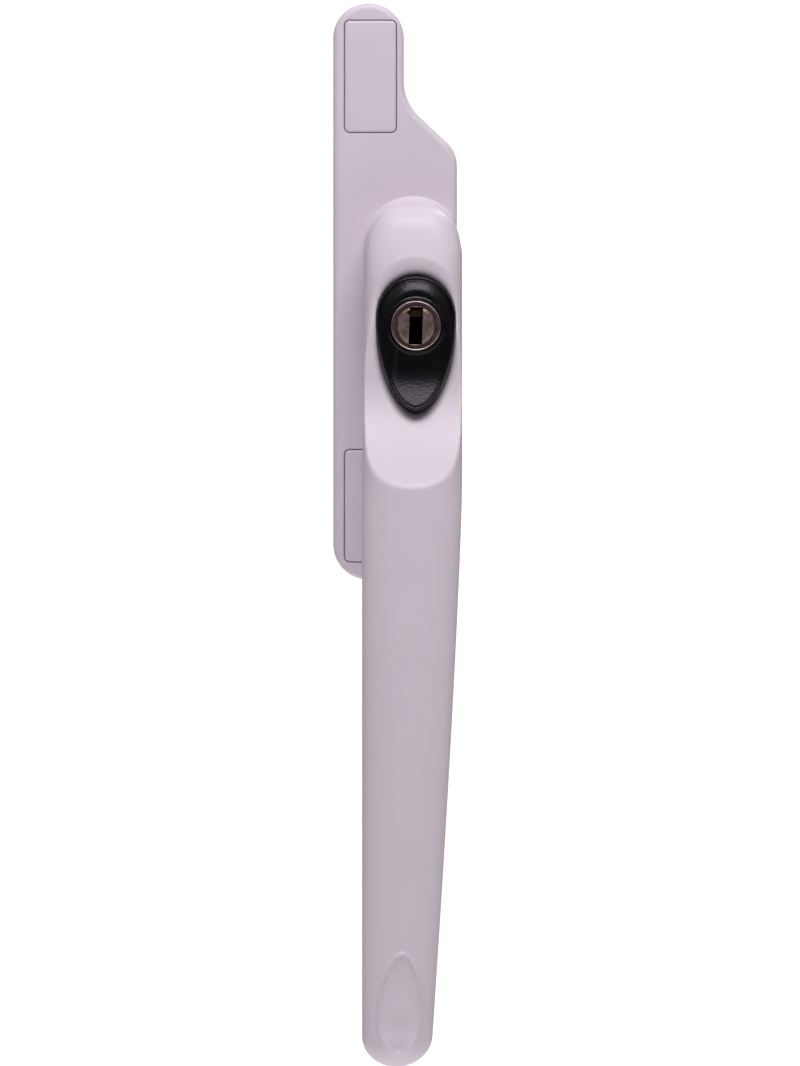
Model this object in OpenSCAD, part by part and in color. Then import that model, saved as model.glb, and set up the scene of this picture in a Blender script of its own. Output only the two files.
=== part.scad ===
// Cranked window handle with a key lock: backplate, turning lever, square spindle and lock.
// X is to the right, Y points into the window frame, Z is up.
// The origin is on the spindle's axis, in the plane of the backplate's back face.

/* [Backplate] */
// Length of the backplate
plate_len = 119.4; // [118:0.2:124]
// Thickness of the backplate
plate_t = 5; // [4.8:0.1:6]
// Radius of the plate's front edge
plate_edge_r = 1.4; // [0.4:0.2:1.6]
// Half width of the round-ended lobes
lobe_r = 7.3; // [7.2:0.1:7.6]
// Distance from the spindle to the plate's left edge
plate_left = 16.5; // [16:0.1:18]
// Distance from the spindle to the plate's right edge
plate_right = 9.1; // [9:0.1:9.5]
// Middle of the plate below the spindle
plate_drop = 9.2; // [8.8:0.1:9.6]
// Radius of the concave bend under each lobe
waist_r = 10; // [8:0.5:11]
// Radius of the convex bend that meets the right edge
shoulder_r = 7; // [6:0.5:8]
// Steepest angle of the waist
waist_angle = 47; // [44:1:50]

/* [Boss] */
// Outer radius of the boss
boss_r = 9.8; // [9.8:0.1:10.2]
// Height of the boss above the back face
boss_h = 8.5; // [8.3:0.1:8.5]
// Radius of the blend between boss and plate
boss_fillet = 0.9; // [0.5:0.1:1]

/* [Screw covers] */
// Width of a screw cover
cover_w = 10.6; // [10.2:0.1:10.8]
// Length of a screw cover
cover_l = 23.1; // [22:0.1:23.4]
// Distance between the centres of the two fixing screws
screw_pitch = 90; // [88:0.5:91]
// Shank radius of a fixing screw
screw_r = 2.5; // [2.2:0.1:2.6]
// Length of a fixing screw behind the plate
screw_reach = 38; // [20:1:50]

/* [Lever] */
// Half width of the hub
hub_w = 10.15; // [10:0.05:10.3]
// Top of the hub above the spindle
hub_top = 9.3; // [9.2:0.1:9.6]
// Depth of the hub's flat front
hub_front = 24; // [23.6:0.1:24.4]
// Depth of the grip's crowned front
grip_front = 37.5; // [36.5:0.1:39.5]
// Thickness of the grip
grip_t = 12.2; // [11:0.2:13]
// Lower end of the lever below the spindle
lever_low = 169.2; // [160:0.2:180]
// Distance from the spindle to the grip's straight left edge
grip_left = 10.5; // [10.3:0.05:10.7]
// Distance from the spindle to the grip's right edge at the end
grip_right_low = 4; // [3.5:0.1:4.5]

/* [Spindle] */
// Width across the flats of the square spindle
spindle_w = 7; // [6.8:0.1:7]
// Length of the spindle behind the plate
spindle_reach = 40; // [10:1:60]

/* [Lock] */
// Distance from the spindle down to the lock's axis
lock_drop = 16.5; // [16.3:0.1:16.7]
// Sideways offset of the lock's axis
lock_x = 0.6; // [0.4:0.1:0.8]
// Radius of the turning plug
plug_r = 4.1; // [4:0.05:4.15]
// Travel of the locking bolt
bolt_travel = 1.8; // [1.6:0.1:1.8]

/* [Hidden] */
$fn = 48;
eps = 0.05;

white = [0.80, 0.76, 0.80];
steel = [0.62, 0.63, 0.65];
nickel = [0.66, 0.57, 0.55];
black = [0.06, 0.06, 0.07];

plate_z = -plate_drop;
lobe_x = lobe_r - plate_left;
screw_x = lobe_x + 0.4;
cover_dz = screw_pitch / 2 - 0.6;
pocket_d = plate_t - 1.4;
lock_z = -lock_drop;

neck_r = 6.3;
neck_square = 8.9;
spigot_r = 7.7;
spigot_h = 11;
hub_back = boss_h + 0.3;
cavity_r = 8.8;
cavity_h = 4.6;
bush_r = 7.3;
cam_side = 11.6;
cam_corner = 7.6;
leaf_t = 0.4;
bolt_d0 = 9.4;
bolt_t = 1.6;
finger_e = bolt_travel / sqrt(2);
finger_r = 0.7;
barrel_r = 5.1;
face_d = 25.3;
grip_top = -50;
grip_right = 10.1;
scoop_top = -27;
scoop_run = 22.5;

// ---------- helpers ----------

// extrudes a flat shape drawn in X and Z, from depth d0 to depth d1 in front of the back face
module slab(d0, d1) {
  translate([0, -d0, 0]) rotate([90, 0, 0]) linear_extrude(d1 - d0) children();
}

// a round rod along Y at x, z, from depth d0 to depth d1
module rod(r, d0, d1, x = 0, z = 0) {
  translate([x, -d0, z]) rotate([90, 0, 0]) cylinder(r = r, h = d1 - d0);
}

// a cone along Y at x, z, with radius r0 at depth d0 and r1 at depth d1
module cone(r0, r1, d0, d1, x = 0, z = 0) {
  translate([x, -d0, z]) rotate([90, 0, 0]) cylinder(r1 = r0, r2 = r1, h = d1 - d0);
}

// a box from depth d0 to d1, centred on x, z
module block(w, h, d0, d1, x = 0, z = 0) {
  translate([x - w / 2, -d1, z - h / 2]) cube([w, d1 - d0, h]);
}

// a flat rectangle with round corners
module round_rect(w, h, r) {
  square([w - 2 * r, h], center = true);
  square([w, h - 2 * r], center = true);
  for (i = [-1, 1], j = [-1, 1]) translate([i * (w / 2 - r), j * (h / 2 - r)]) circle(r);
}

// skins a stack of closed rings that all hold the same number of points
module skin(rings) {
  n = len(rings[0]);
  m = len(rings);
  points = [for (ring = rings) each ring];
  walls = [
    for (i = [0:m - 2], j = [0:n - 1])
      let (a = i * n + j, b = i * n + (j + 1) % n, c = b + n, d = a + n)
        each [[a, b, c], [a, c, d]]
  ];
  first = [[for (j = [n - 1:-1:0]) j]];
  last = [[for (j = [0:n - 1]) (m - 1) * n + j]];
  polyhedron(points = points, faces = concat(first, walls, last), convexity = 8);
}

function smooth(t) = let (u = max(0, min(1, t))) u * u * (3 - 2 * u);
function arc(cx, cz, r, a0, a1, n) =
  [for (i = [0:n]) let (a = a0 + (a1 - a0) * i / n) [cx + r * cos(a), cz + r * sin(a)]];
function signed_pow(v, p) = sign(v) * pow(abs(v), p);

// ---------- backplate ----------

waist_x = plate_right + plate_left - 2 * lobe_r;
waist_sum = waist_r + shoulder_r;
waist_line = (waist_x - waist_sum * (1 - cos(waist_angle))) / sin(waist_angle);
waist_h = waist_sum * sin(waist_angle) + waist_line * cos(waist_angle);
lobe_z = plate_len / 2 - lobe_r;
waist_z = 43.5;

// upper half of the plate's outline about its middle, drawn inwards by t
function plate_half(t) = concat(
  arc(lobe_x, lobe_z, lobe_r - t, 180, 0, 20),
  arc(lobe_x + lobe_r + waist_r, waist_z, waist_r + t, 180, 180 + waist_angle, 7),
  arc(plate_right - shoulder_r, waist_z - waist_h, shoulder_r - t, waist_angle, 0, 7)
);

function plate_outline(t) = let (h = plate_half(t), n = len(h)) concat(
  [for (p = h) [p[0], plate_z + p[1]]],
  [for (i = [n - 1:-1:0]) [h[i][0], plate_z - h[i][1]]]
);

// a stack of slabs that steps round the front edge
module plate_body() {
  r = plate_edge_r;
  low = plate_t - r;
  slab(0, low) polygon(plate_outline(0));
  for (a = [15:15:90]) slab(0.5, low + r * sin(a)) polygon(plate_outline(r * (1 - cos(a - 7))));
}

module boss_body() {
  f = boss_fillet;
  edge = 0.7;
  rotate([90, 0, 0]) rotate_extrude($fn = 72) polygon(concat(
    [[0, 0], [boss_r, 0]],
    [[boss_r, boss_h - edge]],
    [for (a = [15:15:90]) [boss_r - edge + edge * cos(a), boss_h - edge + edge * sin(a)]],
    [[0, boss_h]]
  ));
  intersection() {
    rotate([90, 0, 0]) rotate_extrude($fn = 72) polygon(concat(
      [[0, plate_t - 1], [boss_r + f, plate_t - 1]],
      [for (a = [0:15:90]) [boss_r + f - f * sin(a), plate_t + f - f * cos(a)]],
      [[0, plate_t + f]]
    ));
    slab(0, plate_t + f) polygon(plate_outline(plate_edge_r));
  }
}

module screw_pocket(side) {
  z = plate_z + side * cover_dz;
  sz = plate_z + side * screw_pitch / 2;
  translate([screw_x, 0, z]) slab(pocket_d, plate_t + 1) round_rect(cover_w + 0.3, cover_l + 0.3, 1.1);
  rod(screw_r + 0.25, -1, plate_t, screw_x, sz);
  cone(screw_r + 0.3, 5, 1.2, pocket_d + 0.2, screw_x, sz);
  for (k = [-1, 1]) block(3.2, 1.7, 1.6, plate_t, screw_x, z + k * (cover_l / 2 - 1.6));
}

module backplate() {
  color(white) difference() {
    union() {
      plate_body();
      boss_body();
      rod(spigot_r, boss_h - 1, spigot_h);
    }
    for (s = [-1, 1]) screw_pocket(s);
    rod(cavity_r, -1, cavity_h);
    rod(bush_r, cavity_h - eps, boss_h - 0.2);
    rod(neck_r + 0.2, 1, spigot_h + 1);
    for (s = [-1, 1]) block(19.8, 2.8, -1, 4.3, -2.2, s * 7);
    slab(-1, 0.85) translate([-2.65, 0]) round_rect(21.4, 26.4, 1.6);
    for (s = [-1, 1]) rod(0.9, 0, 3.6, -2.65, s * 11.2);
    block(5.3, 9, boss_h, spigot_h + 1, 0, -spigot_r);
    block(9, 5.3, boss_h, spigot_h + 1, spigot_r, 0);
  }
}

module screw_cover(side) {
  z = plate_z + side * cover_dz;
  translate([screw_x, 0, z]) {
    color(white) slab(pocket_d + 0.05, plate_t) round_rect(cover_w, cover_l, 1);
    color(white) slab(plate_t - eps, plate_t + 0.3) round_rect(cover_w - 0.8, cover_l - 0.8, 0.8);
    for (k = [-1, 1]) color(white) {
      block(3, 0.9, 1.9, pocket_d + 0.1, 0, k * (cover_l / 2 - 1.6));
      block(3, 1.4, 1.9, 2.4, 0, k * (cover_l / 2 - 1.5));
    }
  }
}

module upper_screw_cover() {
  screw_cover(1);
}

module lower_screw_cover() {
  screw_cover(-1);
}

module fixing_screw(z) {
  color(steel) difference() {
    union() {
      rod(screw_r, -screw_reach + 2.5, 0, screw_x, z);
      rod(screw_r - 0.1, -0.5, 2, screw_x, z);
      cone(0.6, screw_r, -screw_reach, -screw_reach + 2.5, screw_x, z);
      cone(screw_r - 0.1, 4.5, 1.4, 3.3, screw_x, z);
      rod(4.5, 3.3, 3.5, screw_x, z);
    }
    block(4.8, 1.1, 2.1, 4, screw_x, z);
    block(1.1, 4.8, 2.1, 4, screw_x, z);
  }
}

module fixing_screws() {
  for (s = [-1, 1]) fixing_screw(plate_z + s * screw_pitch / 2);
}

module bearing_bush() {
  color([0.85, 0.85, 0.82]) difference() {
    rod(bush_r, cavity_h, boss_h - 0.2);
    rod(neck_r + 0.05, 0, boss_h + 1);
  }
}

module detent_springs() {
  for (s = [-1, 1]) color(steel) {
    block(14.6, leaf_t, 1.8, 3.7, -2.2, s * (cam_side / 2 + 0.05 + leaf_t / 2));
    for (k = [-1, 1]) {
      block(leaf_t, 1.3, 1.8, 3.7, -2.2 + k * 7.3, s * (cam_side / 2 + 0.7));
      block(2.2, leaf_t, 1.8, 3.7, -2.2 + k * 8.2, s * (cam_side / 2 + 1.35));
    }
  }
}

module back_cover() {
  color(steel) difference() {
    slab(0, 0.8) translate([-2.65, 0]) round_rect(21.2, 26.2, 1.5);
    rod(5.3, -1, 2);
    for (s = [-1, 1]) {
      rod(1, -1, 2, -2.65, s * 11.2);
      cone(2, 1, 0, 0.75, -2.65, s * 11.2);
    }
  }
}

module cover_screws() {
  for (s = [-1, 1]) color(steel) difference() {
    union() {
      cone(1.9, 0.9, 0, 0.75, -2.65, s * 11.2);
      rod(0.88, 0.5, 3.4, -2.65, s * 11.2);
    }
    block(2.4, 0.4, -1, 0.3, -2.65, s * 11.2);
  }
}

// ---------- lever ----------

// depth of the flat front and of the scooped slope that climbs to the grip
function scoop(z) = hub_front + 12.8 * pow(max(0, (scoop_top - z) / scoop_run), 1.8);

dome_z = -2.2;
end_z = -lever_low + 6.3;

// how far a point is into the domed top, and into the round end, from 0 to 1
function dome(z) = max(0, (z - dome_z) / (hub_top - dome_z));
function tail(z) = max(0, (end_z - z) / 6.3);
function taper(z) = pow(max(0, (grip_top - z) / 113), 1.25);

function full_left(z) = -hub_w - (grip_left - hub_w) * smooth((-34 - z) / 12);
function full_right(z) =
  hub_w - (hub_w - grip_right) * smooth((-44 - z) / 8) - (grip_right - grip_right_low) * taper(z);
function lever_mid(z) = (full_left(z) + full_right(z)) / 2;
function lever_half(z) = (full_right(z) - full_left(z)) / 2
  * sqrt(max(0.0004, 1 - pow(dome(z), 2))) * sqrt(max(0.0004, 1 - pow(tail(z), 2)));

function crank_back(z) = hub_back + (grip_front - grip_t - hub_back) * smooth((-30 - z) / 30);
function crank_front(z) = hub_front + 0.5 + (grip_front - hub_front - 0.5) * smooth((-8 - z) / 34)
  + 0.8 * smooth((-60 - z) / 80);
function lever_back(z) = crank_back(z) + 4.8 * pow(tail(z), 2.2) + 0.5 * smooth((-60 - z) / 80);
// how far the hub's flat face has fallen back on its way up to the domed end
function hub_drop(z) = 0.54 * ln(1 + exp((z + 5) / 1.8));
function lever_front(z) = crank_front(z)
  - hub_drop(z) - 11.2 * pow(dome(z), 6) - 5.2 * pow(tail(z), 2.4);

function grip_mix(z) = smooth((-24 - z) / 20);
function front_power(z) = 3.2 - 1.1 * grip_mix(z);
function back_power(z) = 5 - 2.4 * grip_mix(z);

ring_n = 28;

function lever_ring(z) =
  let (cx = lever_mid(z), w = lever_half(z), b = lever_back(z), f = lever_front(z))
  let (spread = 0.35 * (1 - grip_mix(z)), m = (b + f) / 2)
  [
    for (i = [0:ring_n - 1])
      let (a = -i * 360 / ring_n, c = cos(a), s = sin(a))
      let (n = s > 0 ? front_power(z) : back_power(z))
      let (x = cx + w * signed_pow(c, 2 / n))
      let (raw = s > 0 ? m + (f - m) * signed_pow(s, 2 / n) : m + (m - b + spread) * signed_pow(s, 2 / n))
      [x, -max(b, min(raw, scoop(z))), z]
  ];

lever_stations = concat(
  [for (a = [86, 76, 64, 50, 34, 16]) dome_z + (hub_top - dome_z) * sin(a)],
  [-2.2, -5.5, -9, -17, -24],
  [for (z = [-28:-2.5:-38]) z],
  [for (z = [-39.5:-1.5:-51.5]) z],
  [for (z = [-56:-14:-154]) z],
  [end_z],
  [for (a = [20, 38, 54, 68, 80, 88]) end_z - 6.3 * sin(a)]
);

// the lock opening's outline around the lock's axis, grown by g
bezel_top = 10.3;
bezel_half = 8.1;
bezel_low = 17.75;
bezel_mid = 1.65;
function bezel_point(a, g) =
  let (s = sin(a), c = s < 0 ? signed_pow(cos(a), 1.12) : cos(a))
  let (h = (s > 0 ? bezel_top - bezel_mid : bezel_low + bezel_mid) + g)
  [lock_x + (bezel_half + g) * c, lock_z + bezel_mid + h * s];
function bezel_outline(g) = [for (i = [47:-1:0]) bezel_point(i * 7.5, g)];

module thumb_dish() {
  x = -2.9;
  front = -lever_front(-150);
  hull() {
    translate([x, front - 7.2, -157.5]) sphere(r = 8.6, $fn = 32);
    translate([x, front - 0.9, -147.4]) sphere(r = 1.2, $fn = 16);
  }
}

module lever_body() {
  difference() {
    skin([for (z = lever_stations) lever_ring(z)]);
    slab(21, 40) polygon(bezel_outline(0.15));
    rod(spigot_r + 0.25, 0, spigot_h + 0.3);
    thumb_dish();
  }
}

module lever() {
  color(white) difference() {
    union() {
      lever_body();
      rod(neck_r, cavity_h, 14);
      intersection() {
        rod(neck_r, 0.95, cavity_h + 1);
        block(neck_square, neck_square, 0.95, cavity_h + 1);
      }
    }
    difference() {
      rod(neck_r + 1, 1.05, 1.65);
      rod(6, 0, 2);
    }
    block(spindle_w + 0.04, spindle_w + 0.04, 0, 16);
    rod(barrel_r + 0.05, 9, 24, lock_x, lock_z);
    rod(5.9, 9, 13.6, lock_x, lock_z);
    block(5.4, 8, 8, spigot_h + 0.1, 0, -11);
    block(13.4, 15.4, 8, 9.35, lock_x - 0.2, -16.2);
    for (s = [-1, 1]) rod(0.8, 8, 13, lock_x - 0.2 + s * 5.8, -22.2);
    translate([0, -9.7, 0]) rotate([0, 90, 0]) cylinder(r = 1.2, h = 12.3, center = true);
  }
}

module spindle() {
  w = spindle_w;
  color(steel) difference() {
    union() {
      block(w, w, -spindle_reach + 1.2, 15.8);
      intersection() {
        block(w, w, -spindle_reach, -spindle_reach + 2);
        cone(w / 2, w / 2 + 2, -spindle_reach, -spindle_reach + 2);
      }
    }
    translate([0, -9.7, 0]) rotate([0, 90, 0]) cylinder(r = 1.2, h = 20, center = true);
  }
}

module spindle_pin() {
  color(steel) translate([0, -9.7, 0]) rotate([0, 90, 0]) difference() {
    cylinder(r = 1.19, h = 12.1, center = true);
    cylinder(r = 0.6, h = 13, center = true);
  }
}

module detent_cam() {
  color(steel) difference() {
    intersection() {
      block(cam_side, cam_side, 1.75, 3.8);
      rod(cam_corner, 1.75, 3.8);
    }
    block(neck_square + 0.05, neck_square + 0.05, 1, 5);
  }
}

module wave_washer() {
  color(steel) difference() {
    rod(7.9, 3.85, 4.5);
    rod(neck_r + 0.1, 3, 5);
  }
}

module retaining_ring() {
  color(steel) difference() {
    rod(7.6, 1.1, 1.6);
    rod(6.02, 0, 3);
    block(4.4, 4, 0, 3, 0, -7.4);
  }
}

// ---------- lock ----------

// the bezel's front is flat round the lock and climbs towards its lower tip
function bezel_front(z) = 25 + 0.42 * ln(1 + exp(-27 - z));
function bezel_ring(scale, d_rise) = [
  for (p = bezel_outline(0))
    let (x = lock_x + scale * (p[0] - lock_x), z = lock_z + scale * (p[1] - lock_z))
    [x, -(bezel_front(z) + d_rise), z]
];

module lock_bezel() {
  back = [for (p = bezel_outline(0)) [p[0], -21.05, p[1]]];
  color(black) difference() {
    skin([
      back, bezel_ring(1, -0.8), bezel_ring(0.975, -0.35), bezel_ring(0.93, -0.1),
      bezel_ring(0.85, 0), bezel_ring(0.6, 0.05), bezel_ring(0.3, 0.1), bezel_ring(0.05, 0.1)
    ]);
    rod(barrel_r + 0.05, 20, 30, lock_x, lock_z);
  }
}

module cylinder_body() {
  color(nickel) difference() {
    union() {
      rod(barrel_r, 12.75, face_d, lock_x, lock_z);
      cone(barrel_r, barrel_r - 0.3, face_d - 0.01, face_d + 0.3, lock_x, lock_z);
    }
    rod(plug_r + 0.05, 12, 27, lock_x, lock_z);
    rod(plug_r + 0.3, face_d - 0.3, 27, lock_x, lock_z);
    difference() {
      rod(barrel_r + 1, 13, 13.55, lock_x, lock_z);
      rod(barrel_r - 0.35, 12, 14, lock_x, lock_z);
    }
    for (s = [-1, 1]) block(4.8, 0.6, 15.4, 24, lock_x, lock_z + s * (plug_r + 0.2));
  }
}

module cylinder_clip() {
  color(steel) difference() {
    rod(5.7, 13.05, 13.5, lock_x, lock_z);
    rod(barrel_r - 0.33, 12, 15, lock_x, lock_z);
    block(5, 4, 12, 15, lock_x, lock_z - 5);
  }
}

module bolt_keeper() {
  x = lock_x - 0.2;
  color(steel) difference() {
    block(13.2, 15.2, hub_back, 9.3, x, -16.2);
    rod(spigot_r + 0.3, 8, 10);
    for (s = [-1, 1]) rod(0.9, 8, 10, x + s * 5.8, -22.2);
  }
}

module keeper_screws() {
  for (s = [-1, 1]) color(steel) {
    rod(0.78, hub_back, 12.8, lock_x - 0.2 + s * 5.8, -22.2);
  }
}

wafer_d = [for (i = [0:4]) 16.2 + i * 1.7];

module cylinder_plug() {
  color(nickel) difference() {
    union() {
      rod(plug_r, 12.7, face_d + 0.1, lock_x, lock_z);
      block(2.6, 2.6, 11.3, 13, lock_x, lock_z);
    }
    block(2.8, 7.7, 14.6, 27, lock_x, lock_z);
    block(0.6, 1.1, 14.6, 27, lock_x - 1.6, lock_z + 2.9);
    for (d = wafer_d) block(4.7, 9, d - 0.32, d + 0.32, lock_x, lock_z);
  }
}

module wafers() {
  for (i = [0:4]) color([0.66, 0.5, 0.3]) difference() {
    block(4.6, 6.6, wafer_d[i] - 0.29, wafer_d[i] + 0.29, lock_x, lock_z);
    block(2.9, 4.9, 10, 30, lock_x, lock_z - 0.6 + 0.1 * (i % 3));
  }
}

module lock_cam() {
  a = -45;
  color(steel) difference() {
    union() {
      rod(3.4, 11.35, 12.6, lock_x, lock_z);
      rod(finger_r, bolt_d0 + 0.1, 11.6, lock_x + finger_e * cos(a), lock_z + finger_e * sin(a));
    }
    block(2.64, 2.64, 11.3, 13, lock_x, lock_z);
  }
}

module locking_bolt() {
  low = -20.5;
  top = -8.4;
  z = lock_z - bolt_travel / 2;
  color(steel) difference() {
    union() {
      block(5, top - low, bolt_d0, bolt_d0 + bolt_t, 0, (top + low) / 2);
      block(7.4, 5.4, bolt_d0, bolt_d0 + bolt_t, 0.9, z);
    }
    block(2.3, 2 * finger_r + 0.16, 9, 12, lock_x + finger_e * 0.85, z);
  }
}

backplate();
upper_screw_cover();
lower_screw_cover();
fixing_screws();
bearing_bush();
detent_springs();
back_cover();
cover_screws();
lever();
spindle();
spindle_pin();
detent_cam();
wave_washer();
retaining_ring();
lock_bezel();
cylinder_body();
cylinder_clip();
bolt_keeper();
keeper_screws();
cylinder_plug();
wafers();
lock_cam();
locking_bolt();
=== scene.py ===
"""Cranked window handle with a key lock, drawn round its CAD frame in millimetres."""

import math

import bmesh
import bpy
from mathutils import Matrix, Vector


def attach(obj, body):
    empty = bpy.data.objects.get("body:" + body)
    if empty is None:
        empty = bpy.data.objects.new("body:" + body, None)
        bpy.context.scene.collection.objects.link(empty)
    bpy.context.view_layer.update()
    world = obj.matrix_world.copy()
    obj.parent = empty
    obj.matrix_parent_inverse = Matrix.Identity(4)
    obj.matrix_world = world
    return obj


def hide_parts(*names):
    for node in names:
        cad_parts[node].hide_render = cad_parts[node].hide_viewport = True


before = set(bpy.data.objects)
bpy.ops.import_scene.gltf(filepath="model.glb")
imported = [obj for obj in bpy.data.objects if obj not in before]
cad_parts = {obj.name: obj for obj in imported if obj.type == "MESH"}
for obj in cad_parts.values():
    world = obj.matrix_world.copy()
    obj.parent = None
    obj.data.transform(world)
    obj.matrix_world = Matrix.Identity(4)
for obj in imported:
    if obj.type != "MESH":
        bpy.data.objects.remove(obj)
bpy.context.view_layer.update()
MM = 0.001
WELD = 1e-7


# ---------- shader writing ----------


class Wire:
    """One socket. Arithmetic on it adds Math nodes."""

    def __init__(self, finish, socket):
        self.finish = finish
        self.socket = socket

    def math(self, operation, *values):
        return self.finish.add("ShaderNodeMath", {"operation": operation}, list(values))

    def __add__(self, other):
        return self.math("ADD", self, other)

    def __radd__(self, other):
        return self.math("ADD", other, self)

    def __sub__(self, other):
        return self.math("SUBTRACT", self, other)

    def __rsub__(self, other):
        return self.math("SUBTRACT", other, self)

    def __mul__(self, other):
        return self.math("MULTIPLY", self, other)

    def __rmul__(self, other):
        return self.math("MULTIPLY", other, self)

    def __pow__(self, other):
        return self.math("POWER", self, other)

    def part(self, name):
        return Wire(self.finish, self.socket.node.outputs[name])


class Finish:
    """The nodes of a material or world, written from texture coordinates to the output."""

    def __init__(self, block):
        block.use_nodes = True
        self.block = block
        self.tree = block.node_tree
        self.tree.nodes.clear()

    def add(self, kind, settings=None, sockets=None, out=0):
        node = self.tree.nodes.new(kind)
        for key, value in (settings or {}).items():
            if key == "stops":
                ramp = node.color_ramp
                while len(ramp.elements) < len(value):
                    ramp.elements.new(1.0)
                for element, (place, colour) in zip(ramp.elements, value):
                    element.position = place
                    element.color = (*colour, 1.0)
            else:
                setattr(node, key, value)
        pairs = enumerate(sockets) if isinstance(sockets, list) else (sockets or {}).items()
        for key, value in pairs:
            target = node.inputs[key]
            if isinstance(value, Wire):
                self.tree.links.new(value.socket, target)
            else:
                target.default_value = value
        return Wire(self, node.outputs[out]) if node.outputs else None

    def place(self):
        return self.add("ShaderNodeTexCoord", out="Object")

    def noise(self, where, scale, detail=3.0, rough=0.5):
        sockets = {"Vector": where, "Scale": scale, "Detail": detail, "Roughness": rough}
        return self.add("ShaderNodeTexNoise", {}, sockets)

    def stretch(self, where, amount, shift=(0, 0, 0)):
        sockets = {"Vector": where, "Location": shift, "Scale": amount}
        return self.add("ShaderNodeMapping", {}, sockets)

    def ramp(self, value, stops):
        return self.add("ShaderNodeValToRGB", {"stops": stops}, {"Fac": value})

    def blend(self, factor, first, second, mode="MIX"):
        settings = {"data_type": "RGBA", "blend_type": mode}
        return self.add("ShaderNodeMix", settings, {0: factor, 6: first, 7: second}, out=2)

    def step(self, value, low, high):
        sockets = {"Value": value, "From Min": low, "From Max": high}
        return self.add("ShaderNodeMapRange", {"interpolation_type": "SMOOTHSTEP"}, sockets)

    def bump(self, height, strength, distance, normal=None):
        sockets = {"Strength": strength, "Distance": distance, "Height": height}
        if normal:
            sockets["Normal"] = normal
        return self.add("ShaderNodeBump", {}, sockets)

    def surface(self, **sockets):
        named = {key.replace("_", " "): value for key, value in sockets.items()}
        shader = self.add("ShaderNodeBsdfPrincipled", {}, named)
        self.add("ShaderNodeOutputMaterial", {}, {"Surface": shader})
        return self.block


def new_finish(name):
    return Finish(bpy.data.materials.new(name))


def rgba(red, green, blue):
    return (red, green, blue, 1.0)


def darker(colour, amount):
    return rgba(*(channel * amount for channel in colour))


def white_enamel(name, pale, shade, rough):
    """Sprayed satin enamel: faint clouding, a fine orange peel and a few dust nibs."""
    f = new_finish(name)
    where = f.place()
    cloud = f.noise(where, 60.0, 4.0)
    grain = f.noise(where, 1400.0, 2.0)
    peel = f.noise(where, 520.0, 2.0, 0.45)
    nibs = f.step(f.noise(f.stretch(where, (1, 1, 1), (0.3, 0.1, 0.7)), 900.0, 1.0), 0.79, 0.86)
    tone = f.step(cloud * 0.7 + grain * 0.3, 0.3, 0.7)
    colour = f.blend(tone, rgba(*shade), rgba(*pale))
    colour = f.blend(nibs * 0.25, colour, rgba(0.42, 0.38, 0.38))
    gloss = rough + 0.05 * f.noise(where, 220.0, 3.0) + 0.05 * grain
    normal = f.bump(peel + 0.25 * grain, 0.07, 0.0004)
    normal = f.bump(nibs, 0.12, 0.0002, normal)
    return f.surface(
        Base_Color=colour, Roughness=gloss, Normal=normal, Coat_Weight=0.12, Coat_Roughness=0.28
    )


def black_moulding(name):
    """Glossy black plastic with a soft moulded grain and faint handling marks."""
    f = new_finish(name)
    where = f.place()
    grain = f.noise(where, 1900.0, 3.0, 0.6)
    mottle = f.noise(where, 420.0, 3.0)
    rub = f.step(f.noise(f.stretch(where, (700, 700, 90)), 1.0, 2.0), 0.6, 0.75)
    colour = f.ramp(mottle, [(0.3, (0.0015, 0.0015, 0.0018)), (0.75, (0.004, 0.0036, 0.0045))])
    colour = f.blend(rub * 0.3, colour, rgba(0.016, 0.015, 0.018))
    rough = 0.19 + 0.09 * mottle + 0.07 * rub
    return f.surface(
        Base_Color=colour, Roughness=rough, Normal=f.bump(grain, 0.2, 0.0003),
        Specular_IOR_Level=0.34, Specular_Tint=rgba(0.95, 0.84, 1.0),
    )


LATHE_RINGS, LATHE_ALONG = 2600.0, 900.0
GROOVE_MOUTH, GROOVE_FLOOR = 24.9, 23.6
# Painted shade: a near-black colour laid into the lock's groove and everything deeper than it.
GROOVE_PAINTED_SHADE = rgba(0.006, 0.004, 0.003)
# Painted shade: a near-black colour laid on metal below a given height.
UNDER_PAINTED_SHADE = rgba(0.004, 0.003, 0.002)


def turned_metal(name, pale, deep, centre, rough):
    """Plated metal faced on a lathe: rings about an axis, pits, stains and painted shade in the groove.
    """
    f = new_finish(name)
    where = f.place()
    parts = f.add("ShaderNodeSeparateXYZ", {}, {"Vector": where}, out="X")
    dx = parts - centre[0] * MM
    dz = parts.part("Z") - centre[1] * MM
    radius = (dx * dx + dz * dz) ** 0.5
    around = {"X": radius * LATHE_RINGS, "Y": parts.part("Y") * LATHE_ALONG}
    lathe = f.noise(f.add("ShaderNodeCombineXYZ", {}, around), 1.0, 2.0)
    stain = f.noise(where, 900.0, 4.0, 0.6)
    pits = f.step(f.noise(where, 3200.0, 1.0), 0.68, 0.76)
    colour = f.blend(f.step(stain, 0.3, 0.75), rgba(*deep), rgba(*pale))
    colour = f.blend(pits * 0.5, colour, rgba(deep[0] * 0.4, deep[1] * 0.35, deep[2] * 0.32))
    # Painted shade: the colour goes near black, and rougher, from the groove's mouth inwards.
    shaded_recess = f.step(parts.part("Y"), -GROOVE_MOUTH * MM, -GROOVE_FLOOR * MM)
    colour = f.blend(shaded_recess, colour, GROOVE_PAINTED_SHADE)
    gloss = rough + 0.16 * lathe + 0.12 * stain + 0.3 * shaded_recess
    normal = f.bump(lathe - pits, 0.12, 0.0001)
    return f.surface(Base_Color=colour, Metallic=1.0, Roughness=gloss, Normal=normal)


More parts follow.
